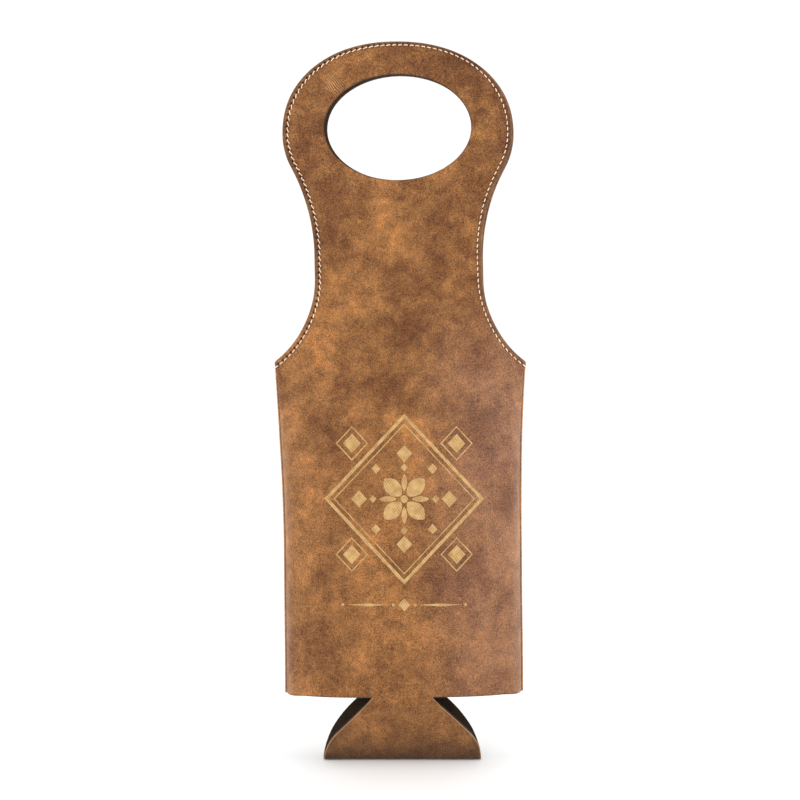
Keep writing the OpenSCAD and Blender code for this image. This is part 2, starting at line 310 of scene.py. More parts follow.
def thicken(piece, thickness, group=""):
    """Gives a sheet its thickness on its inner side. Its back and its cut rim take the next two finishes."""
    modifier = piece.modifiers.new("thickness", "SOLIDIFY")
    modifier.thickness = thickness
    modifier.offset = -1
    modifier.material_offset = 1
    modifier.material_offset_rim = 2
    modifier.vertex_group = group
    bpy.context.view_layer.objects.active = piece
    bpy.ops.object.modifier_apply(modifier="thickness")


def to_hole(x, z):
    """Places as seen from the hand hole, which is cut a little aslant."""
    return (x - hole_x) * hole_cos + z * hole_sin, z * hole_cos - (x - hole_x) * hole_sin


# One pattern of faces serves every layer of a panel: strips beside the edge, rows across the wall, and
# rings round the hand hole. The rear hole, the second in hole_a, is cut a little narrower.
row_points = 63
rings_from = -44 * MM
ring_shares = (0.1, 0.22, 0.35, 0.48, 0.61, 0.73, 0.84, 0.93, 0.97, 0.988, 1.0)
deep_inset = 20 * MM
spread_gain, spread_from = 1.1, 3


def panel_grid(first_inset, insets, rear):
    """Flat points (x, z), their inset from the edge, and quads that face the front."""
    lines = [first_inset] + [np.full(N, k * MM) for k in insets]
    spreads = [edge_spread + spread_gain * max(0, line.max() / MM - spread_from) for line in lines]
    flat = [path + inward_at(spread) * line[:, None] for spread, line in zip(spreads, lines)]
    inset = list(lines)
    faces = []
    for k in range(len(lines) - 1):
        a = k * N + np.arange(N - 1)
        faces.append(np.stack([a, a + N, a + N + 1, a + 1], 1))
    last, used, innermost = (len(lines) - 1) * N, len(lines) * N, flat[-1]
    top = int(np.argmax(innermost[:, 1] > rings_from))
    rows = []
    for i in range(top + 1):
        left_end, right_end = innermost[i], innermost[N - 1 - i]
        flat.append(left_end + (right_end - left_end) * np.linspace(0, 1, row_points + 2)[1:-1, None])
        inset.append(np.full(row_points, deep_inset))
        rows.append(np.concatenate([[last + i], used + np.arange(row_points), [last + N - 1 - i]]))
        used += row_points
    for low, high in zip(rows[:-1], rows[1:]):
        faces.append(np.stack([low[:-1], low[1:], high[1:], high[:-1]], 1))
    before = np.concatenate([last + np.arange(top, N - top), rows[-1][-2:0:-1]])
    outer = np.concatenate(flat)[before]
    hx, hz = to_hole(*outer.T)
    angle = np.arctan2(hz / hole_b, hx / hole_a[rear])
    hx, hz = hole_a[rear] * np.cos(angle), hole_b * np.sin(angle)
    hole = np.stack([hole_x + hx * hole_cos - hz * hole_sin, hx * hole_sin + hz * hole_cos], 1)
    for share in ring_shares:
        flat.append(outer + (hole - outer) * share)
        inset.append(np.full(len(outer), deep_inset))
        ring = used + np.arange(len(outer))
        faces.append(np.stack([before, ring, np.roll(ring, -1), np.roll(before, -1)], 1))
        before = ring
        used += len(outer)
    return np.concatenate(flat), np.concatenate(inset), np.concatenate(faces)


# The topstitch line lies 2.4 to 3.2 mm inside the rim, and its last stitch at each end runs out over
# the edge just below the shoulder corner. The stitches draw the leatherette down into a groove.
def stitch_inset(x, z):
    return (2.95 - 0.3 * np.clip(x / handle_hw, -1, 1) - 0.55 * rise(z, 20, 28)) * MM


end_overhang, usual_pitch = 0.5 * MM, 3.5 * MM
rim = rim_outline(past_corner=math.radians(6))
rim = np.concatenate([rim * [-1, 1], rim[-2::-1]])
rim_inward = aside(unit(np.gradient(rim, axis=0)))
stitch_line = rim + rim_inward * stitch_inset(*rim.T)[:, None]
cloth_hw = half_width(np.minimum(stitch_line[:, 1], shoulder_z))
on_cloth = np.abs(stitch_line[:, 0]) < cloth_hw + end_overhang
stitch_line = stitch_line[(stitch_line[:, 1] > shoulder_z) | on_cloth]
stitch_runs = along(stitch_line)
stitch_count = round(stitch_runs[-1] / usual_pitch)
stitch_pitch = stitch_runs[-1] / stitch_count
stitch_places = KDTree(len(stitch_line))
for i, (x, z) in enumerate(stitch_line):
    stitch_places.insert((x, 0, z), i)
stitch_places.balance()


def wave(points):
    """The slight unevenness of a hand-filled sleeve, in swells 36 mm and 13 mm across."""
    broad = np.array([noise.noise(Vector(p) * 28) for p in points])
    fine = np.array([noise.noise(Vector(p) * 75) for p in points])
    return (0.22 * broad + 0.1 * fine) * MM


def turned_edge(rear):
    """Where the face ends, and columns (x, depth, z) round the edge to the end of the hem or seam."""
    turn_steps, seam_end, hem_end = 7, 2.2 * MM, 5.5 * MM
    share = rim_share(path[:, 1])
    short = seam_inset(path[:, 1], rear)
    _, _, slope, _ = lens(path[:, 1], rear)
    start = quarter_turn - slope * np.abs(inward[:, 0])
    first = short + edge_r * (1 - np.cos(start))
    flat = path + inward * first[:, None]
    centre = depth(flat[:, 0], flat[:, 1], rear) - edge_r * np.sin(start)
    end = -quarter_turn * share
    outline = []
    for k in range(1, turn_steps + 1):
        a = start + (end - start) * k / turn_steps
        outline.append((short + edge_r * (1 - np.cos(a)), centre + edge_r * np.sin(a)))
    lip_u, lip_y = short + edge_r - (edge_r - lip_r) * np.cos(end), centre + (edge_r - lip_r) * np.sin(end)
    turn = quarter_turn * (1 - share)
    for k in (1, 2):
        a = end - turn * k / 2
        outline.append((lip_u - lip_r * np.cos(a), lip_y + lip_r * np.sin(a)))
    length = seam_end + (hem_end - seam_end - edge_r) * share
    u, y = outline[-1]
    for k in (1, 2, 3):
        outline.append((u - np.sin(a) * length * k / 3, y - np.cos(a) * length * k / 3))
    columns = []
    for u, y in outline:
        flat = path + inward * u[:, None]
        columns.append(np.stack([flat[:, 0], y, flat[:, 1]], 1))
    return first, columns


# Broad light and dark clouds of the front panel: x, z, half width and half height in mm, and amount. Most
# are the leatherette's own mottling, but the dark clouds on the handle above and beside the hand hole are
# painted shade, and the tall light cloud along the wall's left edge is a painted sheen. The rear panel is
# cut from the same roll, the other way round.
cloud_warp = 9 * MM
broad_clouds = [
    (34, 36, 38, 24, -0.1), (-50, 8, 12, 20, -0.07), (58, -4, 18, 36, -0.1), (-4, -70, 17, 20, 0.09),
    (-41, -45, 13, 18, -0.05), (-33, -107, 16, 14, 0.08), (2, -117, 20, 14, -0.1),
    (-12, -153, 14, 10, -0.08), (-58, -134, 16, 12, 0.08), (40, -86, 16, 26, -0.04),
    (-45, -178, 12, 14, -0.13), (-46, -306, 18, 15, -0.07), (4, -313, 22, 15, 0.1),
    (24, -272, 24, 16, -0.09), (48, -185, 16, 30, -0.07), (-62, -215, 10, 70, 0.08),
    (6, -176, 22, 9, 0.08), (-20, -166, 10, 7, 0.05),
]


def mottle_and_painted_light(x, z, rear):
    """Light and dark of the broad clouds, their outlines warped in swells 26 mm across."""
    x = -x if rear else x
    warp = np.array([noise.noise_vector(Vector((a * 38, 3.0, b * 38))) for a, b in zip(x, z)]) * cloud_warp
    total = np.zeros(len(x))
    for cx, cz, rx, rz, amount in broad_clouds:
        off = ((x + warp[:, 0]) / MM - cx) ** 2 / rx**2 + ((z + warp[:, 2]) / MM - cz) ** 2 / rz**2
        total += amount * np.exp(-off)
    return total


def skin(name, rear):
    first, columns = turned_edge(rear)
    insets = [1.8, 2.1, 2.4, 2.65, 2.9, 3.15, 3.4, 3.8, 4.3, 5.2, 6.4, 8.0]
    flat, inset, faces = panel_grid(first, insets, rear)
    face = np.stack([flat[:, 0], depth(*flat.T, rear), flat[:, 1]], 1)
    points = np.concatenate([face] + columns)
    grid, before, turned = len(face), np.arange(N), []
    for k in range(len(columns)):
        out = grid + k * N + np.arange(N)
        turned.append(np.stack([out[:-1], before[:-1], before[1:], out[1:]], 1))
        before = out
    faces = np.concatenate([faces] + turned)
    inset = np.concatenate([inset, np.zeros(len(columns) * N)])
    on_face = np.arange(len(points)) < grid
    row = (np.arange(len(points)) - grid) // N
    x, _, z = points.T

    found = [stitch_places.find((a, 0, b)) for a, b in zip(x, z)]
    off_stitch = np.array([gap for _, _, gap in found])
    stitch_run = stitch_runs[[at for _, at, _ in found]] / stitch_pitch
    hx, hz = to_hole(x, z)
    hole_gap = (np.hypot(hx / hole_a[rear], hz / hole_b) - 1) * hole_b
    # Round the hand hole the raw edge's dark is painted shade, stronger on the left, added to the cutter's
    # burn
    hole_side_shade = 0.35 + 0.65 * rise(-hx, -30, 60)
    above = z - wall_bottom
    beside_base = rise(np.abs(x + 0.8 * MM), 16.5, 1)
    raw_gap = np.minimum(np.abs(hole_gap), above + (1 - beside_base) * 9 * MM)
    free = rise(z - shoulder_z, -2, 4)
    sewn = 1 - rim_share(z)
    seam_row = 9 if rear else 8
    in_seam = (row >= seam_row) * sewn
    lit_flare = rise(-z, 118, 14) * (x < 0)

    piece = new_piece(name, settle(points, rear), faces, {
        # stitch_near_and_groove_shade: closeness to the stitch line, which places the needle holes and a
        # painted shade in the groove
        "stitch_near_and_groove_shade": fade(off_stitch, 1.3) * on_face,
        "stitch_run": stitch_run,
        "stitch_side": inset - stitch_inset(x, z),
        # mottle_and_painted_light: the broad clouds, among them painted shade on the handle and a painted
        # sheen along the left edge
        "mottle_and_painted_light": mottle_and_painted_light(x, z, rear),
        # painted_sheen: where a painted mauve sheen is mixed in, towards the lower right of the panel
        "painted_sheen": rise(-x if rear else x, -5, 60) * rise(-z, 90, 60),
        # seam_roll_highlight: a painted highlight on the rear panel's roll into the side seam
        "seam_roll_highlight": rear * np.interp(row, [5, 7, 8, 9], [0, 1, 1, 0]) * sewn,
        # needle_hole_shade: how deep the painted shade in the needle holes is, deeper on the left
        "needle_hole_shade": rise(-x, -20, 40) * 0.6 + 0.4,
        # rim_and_seam_shade: painted shade on the rolled rim outside the stitching, left off where the left
        # shoulder's flare faces the light, and stronger painted shade in the side seam's groove
        "rim_and_seam_shade": np.maximum(np.exp(-((inset / (1.9 * MM)) ** 4)) * free * (1 - lit_flare), 1.8 * in_seam),
        # raw_burn_and_shade: the cutter's burn along the raw edges, with painted shade
        "raw_burn_and_shade": fade(raw_gap, 0.45) * np.where(hole_gap < 9 * MM, hole_side_shade, 1),
    }, flip=rear)
    # The groove, the pull of each stitch, a swell on both sides of the line, and the pressed raw edges
    pull = 0.5 + 0.5 * np.cos(2 * math.pi * stitch_run)
    amount = -0.42 * fade(off_stitch, 0.55) - 0.14 * pull * fade(off_stitch, 1.6)
    amount += 0.22 * free * (fade(inset - 1.5 * MM, 0.8) + fade(inset - 4.5 * MM, 1.1))
    amount += wave(points) / MM * rise(inset, 0, 8) * rise(raw_gap, 0, 12) * rise(above, 0, 14)
    push_out(piece, (amount * on_face - 0.16 * np.exp(-np.maximum(raw_gap, 0) / (0.35 * MM))) * MM)

    # The leatherette is pared thin where it turns into the seam
    thick_rows = 6
    group = piece.vertex_groups.new(name="skive")
    group.add(list(range(grid + thick_rows * N)), 1.0, "REPLACE")
    pared = 0.4 + 0.6 * rim_share(path[:, 1])
    for k in range(thick_rows, len(columns)):
        for i in range(N):
            group.add([grid + k * N + i], float(pared[i]), "REPLACE")
    thicken(piece, face_t, "skive")
    return piece


front_skin = skin("front_leatherette", False)
rear_skin = skin("rear_leatherette", True)


def paint(hexa):
    """A linear colour from an sRGB hex value."""
    parts = [int(hexa[k:k + 2], 16) / 255 for k in (0, 2, 4)]
    return [c / 12.92 if c <= 0.04045 else ((c + 0.055) / 1.055) ** 2.4 for c in parts] + [1]


def add(tree, kind, inputs=None, stops=None, out=0, **settings):
    """Adds a node and gives its output. An input is a value or an output to link. Stops are a ramp's
    colours, its two ends first."""
    made = tree.nodes.new("ShaderNode" + kind)
    for key, value in settings.items():
        setattr(made, key, value)
    for key, value in (inputs or {}).items():
        if isinstance(value, bpy.types.NodeSocket):
            tree.links.new(value, made.inputs[key])
        else:
            made.inputs[key].default_value = value
    for k, (at, colour) in enumerate(stops or []):
        element = made.color_ramp.elements[k] if k < 2 else made.color_ramp.elements.new(at)
        element.position, element.color = at, paint(colour)
    return made.outputs[out] if made.outputs else None


def new_finish(name, roughness, specular):
    """A material, its nodes, its shader with colour and bump still to be linked, and Object coordinates."""
    finish = bpy.data.materials.new(name)
    finish.use_nodes = True
    tree = finish.node_tree
    tree.nodes.clear()
    surface = add(tree, "BsdfPrincipled", {"Roughness": roughness, "Specular IOR Level": specular})
    add(tree, "OutputMaterial", {"Surface": surface})
    return finish, tree, surface.node, add(tree, "TexCoord", out="Object")


# Embossed polyurethane leatherette: clouds 33 mm and 9 mm across, and a pebbled grain of 0.6 mm with dark
# pits, with a painted mauve sheen towards the lower right and a painted highlight on the rear panel's roll
# into the side seam. The real grain is finer, and is drawn as coarse as it shows.
leatherette, tree, shader, place = new_finish("embossed_leatherette", 0.5, 0.2)
broad, painted_sheen, seam_roll_highlight, near, run, side, needle_hole_shade, raw, rim_and_seam_shade = (
    add(tree, "Attribute", out="Fac", attribute_name=key)
    for key in ("mottle_and_painted_light", "painted_sheen", "seam_roll_highlight", "stitch_near_and_groove_shade", "stitch_run", "stitch_side", "needle_hole_shade",
                "raw_burn_and_shade", "rim_and_seam_shade"))
clouds, patches, grain, ridges = (
    add(tree, "TexNoise", {"Vector": place, "Scale": scale, "Detail": detail, "Roughness": rough,
                           "Distortion": twist})
    for scale, detail, rough, twist in (
        (30, 2, 0.5, 0.5), (115, 2.2, 0.6, 0.4), (1650, 2, 0.75, 0.6), (520, 1, 0.5, 1.6)))
broad = add(tree, "Math", {0: broad, 1: 0.09}, operation="ADD")
tone = add(tree, "Math", {0: clouds, 1: 0.36, 2: broad}, operation="MULTIPLY_ADD")
tone = add(tree, "Math", {0: patches, 1: 0.46, 2: tone}, operation="MULTIPLY_ADD")
colour = add(tree, "ValToRGB", {0: tone}, stops=[
    (0.34, "5E3717"), (0.66, "A86E38"), (0.42, "704522"), (0.50, "80542B"), (0.58, "936134"),
])
# Painted sheen: towards the lower right the colour is mixed towards a mauve grey, and the grain's pits are
# eased as under a highlight
sheen_eased_pits = add(tree, "MapRange", {0: painted_sheen, 3: 1.0, 4: 0.82})
painted_sheen = add(tree, "Math", {0: painted_sheen, 1: clouds}, operation="MULTIPLY")
painted_sheen = add(tree, "Math", {0: painted_sheen, 1: 0.5}, operation="MULTIPLY")
colour = add(tree, "Mix", {0: painted_sheen, 6: colour, 7: paint("8C6A60")}, data_type="RGBA", out=2)
# Painted highlight: the rear panel's roll into the side seam is lightened towards a pale tan
seam_roll_highlight = add(tree, "Math", {0: seam_roll_highlight, 1: 0.7}, operation="MULTIPLY")
colour = add(tree, "Mix", {0: seam_roll_highlight, 6: colour, 7: paint("B88250")}, data_type="RGBA", out=2)
pitted = add(tree, "MapRange", {0: tone, 1: 0.40, 2: 0.60, 3: 0.95, 4: 0.7})
pitted = add(tree, "Math", {0: pitted, 1: sheen_eased_pits}, operation="MULTIPLY")
fleck = add(tree, "Math", {0: ridges, 1: 0.16}, operation="MULTIPLY")
fleck = add(tree, "Math", {0: grain, 1: 0.9, 2: fleck}, operation="MULTIPLY_ADD")
fleck = add(tree, "MapRange", {0: fleck, 1: 0.37, 2: 0.69, 3: -0.95, 4: 0.95})
value = add(tree, "Math", {0: fleck, 1: pitted, 2: 1.0}, operation="MULTIPLY_ADD")
value = add(tree, "Math", {0: value, 1: 0.4}, operation="MAXIMUM")
colour = add(tree, "HueSaturation", {"Value": value, "Color": colour})

# Faint creases fan out above the hand hole on the left, drawn in the bump, and a painted highlight lightens
# the colour along them
creased = add(tree, "Mapping", {"Vector": place, "Location": (0.0405, 0.0028, -0.0255)})
creased = add(tree, "Mapping", {"Vector": creased, "Rotation": (0, math.radians(40), 0)})
bands = add(tree, "TexWave", {"Vector": creased, "Scale": 250, "Distortion": 5.0, "Detail": 2,
                              "Detail Scale": 0.8}, out="Fac")
spot = add(tree, "Mapping", {"Vector": creased, "Scale": (115, 100, 95)})
spot = add(tree, "TexGradient", {"Vector": spot}, gradient_type="SPHERICAL", out="Fac")
crease = add(tree, "Math", {0: bands, 1: spot}, operation="MULTIPLY")
crease = add(tree, "MapRange", {0: crease, 1: 0.18, 2: 0.68, 3: 0.0, 4: 0.7})
colour = add(tree, "Mix", {0: crease, 6: colour, 7: paint("C28E5C")}, data_type="RGBA", out=2)

# The stitched groove and the needle holes on its outer side between stitches, deeper on the left, darkened
# as painted shade; the raw cut edges, darkened by the cutter's heat and by painted shade; and the rolled rim
# and side seam, darkened as painted shade
hole_edge, hole_end = 0.42 * MM, 0.78 * MM
for operation, amount in (("ADD", 0.92), ("FRACT", 0), ("PINGPONG", 0.5), ("MULTIPLY", 2.5 * MM)):
    run = add(tree, "Math", {0: run, 1: amount}, operation=operation)
side = add(tree, "Math", {0: side, 1: hole_end}, operation="ADD")
gap = add(tree, "Math", {0: side, 1: side}, operation="MULTIPLY")
gap = add(tree, "Math", {0: run, 1: run, 2: gap}, operation="MULTIPLY_ADD")
gap = add(tree, "Math", {0: gap, 1: 0.5}, operation="POWER")
dark = add(tree, "MapRange", {0: gap, 1: hole_edge, 2: hole_end, 3: 1.0, 4: 0.0})
dark = add(tree, "Math", {0: dark, 1: needle_hole_shade}, operation="MULTIPLY")
beside = add(tree, "MapRange", {0: near, 1: 0.1, 2: 0.4})
dark = add(tree, "Math", {0: dark, 1: beside}, operation="MULTIPLY")
for mark, strength in ((near, 0.3), (raw, 0.75), (rim_and_seam_shade, 0.42)):
    mark = add(tree, "Math", {0: mark, 1: strength}, operation="MULTIPLY")
    dark = add(tree, "Math", {0: dark, 1: mark}, operation="MAXIMUM")
colour = add(tree, "Mix", {0: dark, 6: colour, 7: paint("1E0F06")}, data_type="RGBA", out=2)
tree.links.new(colour, shader.inputs["Base Color"])
shader.inputs["Sheen Weight"].default_value = 0.5
shader.inputs["Sheen Roughness"].default_value = 0.4
shader.inputs["Sheen Tint"].default_value = paint("DCC4B2")
polish = add(tree, "MapRange", {0: patches, 1: 0.35, 2: 0.65, 3: 0.56, 4: 0.44})
tree.links.new(polish, shader.inputs["Roughness"])
relief = add(tree, "Math", {0: crease, 1: 3.0, 2: fleck}, operation="MULTIPLY_ADD")
bump = add(tree, "Bump", {"Height": relief, "Strength": 0.5, "Distance": 0.12 * MM})
tree.links.new(bump, shader.inputs["Normal"])

# Knitted polyester on the back of the leatherette: matt, with loops 0.8 mm apart
knit, tree, shader, place = new_finish("knitted_backing", 0.95, 0.2)
loops = add(tree, "TexVoronoi", {"Vector": place, "Scale": 1250})
colour = add(tree, "ValToRGB", {0: loops}, stops=[(0.1, "4A3A2C"), (0.7, "241A12")])
tree.links.new(colour, shader.inputs["Base Color"])

# The raw cut at the hand hole and the lower edge, sealed by the heat of the cutter: nearly black
sealed, tree, shader, place = new_finish("heat_sealed_cut", 0.7, 0.3)
char = add(tree, "TexNoise", {"Vector": place, "Scale": 700, "Detail": 2})
colour = add(tree, "ValToRGB", {0: char}, stops=[(0.3, "1A110B"), (0.7, "45301F")])
tree.links.new(colour, shader.inputs["Base Color"])

for panel, piece in (("front", front_skin), ("rear", rear_skin)):
    for finish in (leatherette, knit, sealed):
        piece.data.materials.append(finish)
    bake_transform(piece)
    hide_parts(panel + "_wall_face", panel + "_handle_face")


# Foam. A 1.3 mm sheet is laminated behind each skin and stiffens the carrier. It is cut raw at the hand
# hole and the lower edge, and stops short of the side seams so that they stay thin.
def panel_layer(name, rear, off, thickness, seam_trim, free_trim):
    first = (seam_trim + (free_trim - seam_trim) * rim_share(path[:, 1])) * MM
    flat, _, faces = panel_grid(first, [7.0, 9.0], rear)
    x, z = flat.T
    points = np.stack([x, depth(x, z, rear), z], 1) - face_normal(x, z, rear) * off
    piece = new_piece(name, settle(points, rear), faces, flip=rear)
    thicken(piece, thickness)
    return piece


ply_gap = 0.02 * MM

# Closed-cell polyethylene foam, dark grey brown: matt, with cells 1 mm across in its cut edge
foam, tree, shader, place = new_finish("closed_cell_foam", 0.9, 0.2)
cells = add(tree, "TexVoronoi", {"Vector": place, "Scale": 1000})
colour = add(tree, "ValToRGB", {0: cells}, stops=[(0.1, "241B15"), (0.6, "3A2E25")])
tree.links.new(colour, shader.inputs["Base Color"])
bump = add(tree, "Bump", {"Height": cells, "Strength": 0.4, "Distance": 0.2 * MM})
tree.links.new(bump, shader.inputs["Normal"])

panels = (("front", False), ("rear", True))
for panel, rear in panels:
    piece = panel_layer(panel + "_foam", rear, face_t + ply_gap, foam_t - 2 * ply_gap, 4.0, 1.5)
    piece.data.materials.append(foam)
    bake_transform(piece)
    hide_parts(panel + "_wall_foam", panel + "_handle_foam")

# Lining. A thin plain-woven polyester is laminated on the foam's inner side. Round the handle it ends
# against the turned edge of the leatherette, and lies flush with it.

# Plain-woven polyester, dark olive brown: matt, threads 0.5 mm apart drawn at 0.8 mm so that they show
lining, tree, shader, place = new_finish("plain_woven_lining", 0.8, 0.25)
warp, weft = (
    add(tree, "TexWave", {"Vector": place, "Scale": 400, "Distortion": 0.5}, bands_direction=way, out="Fac")
    for way in "XZ")
slub = add(tree, "TexNoise", {"Vector": place, "Scale": 140, "Detail": 3})
weave = add(tree, "Math", {0: warp, 1: weft}, operation="MULTIPLY")
weave = add(tree, "Math", {0: slub, 1: 0.9, 2: weave}, operation="MULTIPLY_ADD")
weave = add(tree, "Math", {0: weave, 1: 0.7}, operation="MULTIPLY")
colour = add(tree, "ValToRGB", {0: weave}, stops=[(0.2, "20170F"), (0.9, "463522")])
tree.links.new(colour, shader.inputs["Base Color"])
bump = add(tree, "Bump", {"Height": weave, "Strength": 0.5, "Distance": 0.1 * MM})
tree.links.new(bump, shader.inputs["Normal"])

for panel, rear in panels:
    piece = panel_layer(panel + "_lining", rear, face_t + foam_t, lining_t, 4.2, 5.5)
    piece.data.materials.append(lining)
    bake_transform(piece)
    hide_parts(panel + "_wall_lining", panel + "_handle_lining")

# Topstitching. A lockstitch of 3.5 mm in cream bonded polyester thread holds the turned edge down. It
# shows on both faces of a panel. On the left the stitches slant and hook into their holes, and on the
# right they lie almost straight. One stitch is modelled, and every other is a copy laid along the line.
bpy.ops.mesh.primitive_cylinder_add(vertices=6, radius=1, depth=1, end_fill_type="NGON",
                                    rotation=(0, quarter_turn, 0))
one_stitch = bpy.context.object
bpy.ops.object.transform_apply(location=True, rotation=True, scale=True)
bpy.ops.object.mode_set(mode="EDIT")
for cut in (-0.42, -0.25, 0.0, 0.25, 0.42):
    bpy.ops.mesh.select_all(action="SELECT")
    bpy.ops.mesh.bisect(plane_co=(cut, 0, 0), plane_no=(1, 0, 0))
bpy.ops.object.mode_set(mode="OBJECT")
stitch_form = np.array([v.co for v in one_stitch.data.vertices])
stitch_faces = [list(f.vertices) for f in one_stitch.data.polygons]
bpy.data.objects.remove(one_stitch)


def lay_stitches(place, starts, length, radius, slant=lambda s: 0.1 * MM, hook=lambda s: 0.0):
    """Copies of the stitch, bowed up and with their ends in the holes. place(run, shift) gives the way."""
    points, faces = [], []
    t, ring = stitch_form[:, 0], stitch_form[:, 1:]
    end = np.abs(t) * 2
    height = (0.16 - 0.3 * end**4 - 0.5 * end**12) * MM
    thin = 1 - 0.35 * end**8
    for s in starts:
        shift = np.sin(np.clip(t * 2, -1, 1) * quarter_turn) * slant(s)
        shift = shift - hook(s) * slant(s) * np.maximum(t * 2 - 0.4, 0) / 0.6
        at, normal, way = place(s + t * length(s), shift)
        beside = np.cross(normal, way)
        body = beside * ring[:, :1] + normal * ring[:, 1:]
        faces += [[i + len(points) * len(t) for i in f] for f in stitch_faces]
        points.append(at + normal * height[:, None] + body * (thin * radius)[:, None])
    return np.concatenate(points), faces


top_r, top_sunk, under_r, end_clear = 0.32 * MM, 0.24 * MM, 0.37 * MM, 7 * MM


def topstitch(name, rear):
    way_flat = unit(np.gradient(stitch_line, axis=0))

    def on_panel(run, shift, back=False):
        flat, way = (np.stack([np.interp(run, stitch_runs, v[:, k]) for k in (0, 1)], 1)
                     for v in (stitch_line, way_flat))
        x, z = (flat + aside(way) * shift[:, None]).T
        normal = face_normal(x, z, rear)
        _, _, slope, _ = lens(z, rear)
        inside = np.where(z < shoulder_z, np.clip(half_width(z) - np.abs(x), 0, edge_r), edge_r)
        fall = edge_r * np.cos(slope) - np.sqrt(edge_r**2 - (edge_r - inside) ** 2)
        face = np.stack([x, depth(x, z, rear) - np.maximum(fall, 0), z], 1)
        way = np.stack([way[:, 0], np.zeros(len(x)), way[:, 1]], 1)
        if back:
            return face - normal * panel_t, -normal, way
        return face - normal * top_sunk, normal, way

    def on_left(s):
        share = s / stitch_runs[-1]
        return (0.15 + 0.85 * smooth((share - 0.05) / 0.1)) * (1 - smooth((share - 0.36) / 0.22))

    marks = (np.arange(stitch_count) + 0.5) * stitch_pitch
    points, faces = lay_stitches(
        on_panel, marks, lambda s: (2.5 + 0.8 * on_left(s)) * MM, top_r,
        lambda s: (0.12 - 0.72 * on_left(s)) * MM, lambda s: 0.8 * on_left(s))
    free = marks[(marks > end_clear) & (marks < stitch_runs[-1] - end_clear)]
    under, under_faces = lay_stitches(
        lambda run, shift: on_panel(run, shift, back=True), free, lambda s: 2.6 * MM, under_r)
    faces += [[i + len(points) for i in f] for f in under_faces]
    return new_piece(name, settle(np.concatenate([points, under]), rear), faces)


def face_outwards(piece):
    """Turns every closed shell's faces outwards."""
    bpy.context.view_layer.objects.active = piece
    bpy.ops.object.mode_set(mode="EDIT")
    bpy.ops.mesh.select_all(action="SELECT")
    bpy.ops.mesh.normals_make_consistent(inside=False)
    bpy.ops.object.mode_set(mode="OBJECT")


# Bonded polyester thread, cream: a soft sheen, and the twist of its plies about 0.7 mm apart
thread, tree, shader, place = new_finish("bonded_polyester_thread", 0.55, 0.4)
plies = add(tree, "TexNoise", {"Vector": place, "Scale": 1400, "Detail": 1})
colour = add(tree, "ValToRGB", {0: plies}, stops=[(0.3, "C9A080"), (0.7, "FFE9D2"), (0.5, "F2D4B6")])
tree.links.new(colour, shader.inputs["Base Color"])
bump = add(tree, "Bump", {"Height": plies, "Strength": 0.4, "Distance": 0.1 * MM})
tree.links.new(bump, shader.inputs["Normal"])

for panel, rear in panels:
    piece = topstitch(panel + "_topstitch", rear)
    face_outwards(piece)
    piece.data.materials.append(thread)
    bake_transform(piece)
    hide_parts(panel + "_shoulder_stitching", panel + "_handle_stitching")


# Seam allowances. Inside each side seam the edges of both panels are turned in, 15 mm wide, and pressed
# thin beside the seam. They are the same laminate as the walls, lining side out.
allowance_start = 3.6 * MM
allowance_section = [
    (0.0, 0.1), (0.8, 0.28), (3.0, 0.8), (6.5, 1.6), (10.0, 2.25), (12.5, 2.4), (14.6, 2.35),
    (15.0, 2.1), (15.0, 0.35), (14.7, 0.12), (10.0, 0.12), (5.0, 0.1), (2.0, 0.08),
]


def seam_allowance(name, sign):
    levels = np.linspace(wall_bottom + 0.3 * MM, shoulder_z - 6 * MM, 90)
    points, faces = [], []
    ring = len(allowance_section)
    for ply in (-1, 1):
        base = len(points)
        for z in levels:
            inner = float(half_width(z)) - allowance_start
            lift = 0.25 * MM * noise.noise(Vector((sign, ply, z * 60)))
            for u, y in allowance_section:
                off = seam_depth * (1 - smooth(u / 9)) - ply * (y * MM + lift * min(1, u / 10) + 0.05 * MM)
                points.append((sign * (inner - u * MM), off, z))
        for k in range(len(levels) - 1):
            for j in range(ring):
                a, b = base + k * ring + j, base + k * ring + (j + 1) % ring
                faces.append([a, b, b + ring, a + ring])
        faces.append(list(range(base, base + ring)))
        faces.append(list(range(len(points) - ring, len(points))))
    piece = new_piece(name, settle(np.array(points), False), faces)
    face_outwards(piece)
    return piece


for name, sign in (("left", -1), ("right", 1)):
    piece = seam_allowance(name + "_allowance", sign)
    piece.data.materials.append(lining)
    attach(piece, "sleeve")
    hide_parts(name + "_seam_allowance")


# Seam thread. A lockstitch of 5 mm runs down each side seam through both allowances, in the topstitch's
# thread. It lies inside the carrier.
seam_pitch, seam_length, seam_line = 5 * MM, 3.8 * MM, 6.6 * MM


def seam_stitches(name, sign):
    starts = np.arange(wall_bottom + 3 * MM, shoulder_z - 8 * MM, seam_pitch)
    points, faces = [], []
    for ply in (-1, 1):

        def in_seam(run, shift):
            inner = half_width(run) - seam_line
            off = np.full(len(run), ply * 0.95 * MM + 0.74 * seam_depth)
            at = np.stack([sign * (inner + shift), off, run], 1)
            return at, np.array([-sign * 0.22, ply * 0.975, 0]), np.array([0, 0, 1])

        part, part_faces = lay_stitches(in_seam, starts, lambda s: seam_length, under_r)
        faces += [[i + sum(map(len, points)) for i in f] for f in part_faces]
        points.append(part)
    piece = new_piece(name, settle(np.concatenate(points), False), faces)
    face_outwards(piece)
    return piece


for name, sign in (("left", -1), ("right", 1)):
    piece = seam_stitches(name + "_seam_stitches", sign)
    piece.data.materials.append(thread)
    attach(piece, "sleeve")
    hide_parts(name + "_seam_thread")

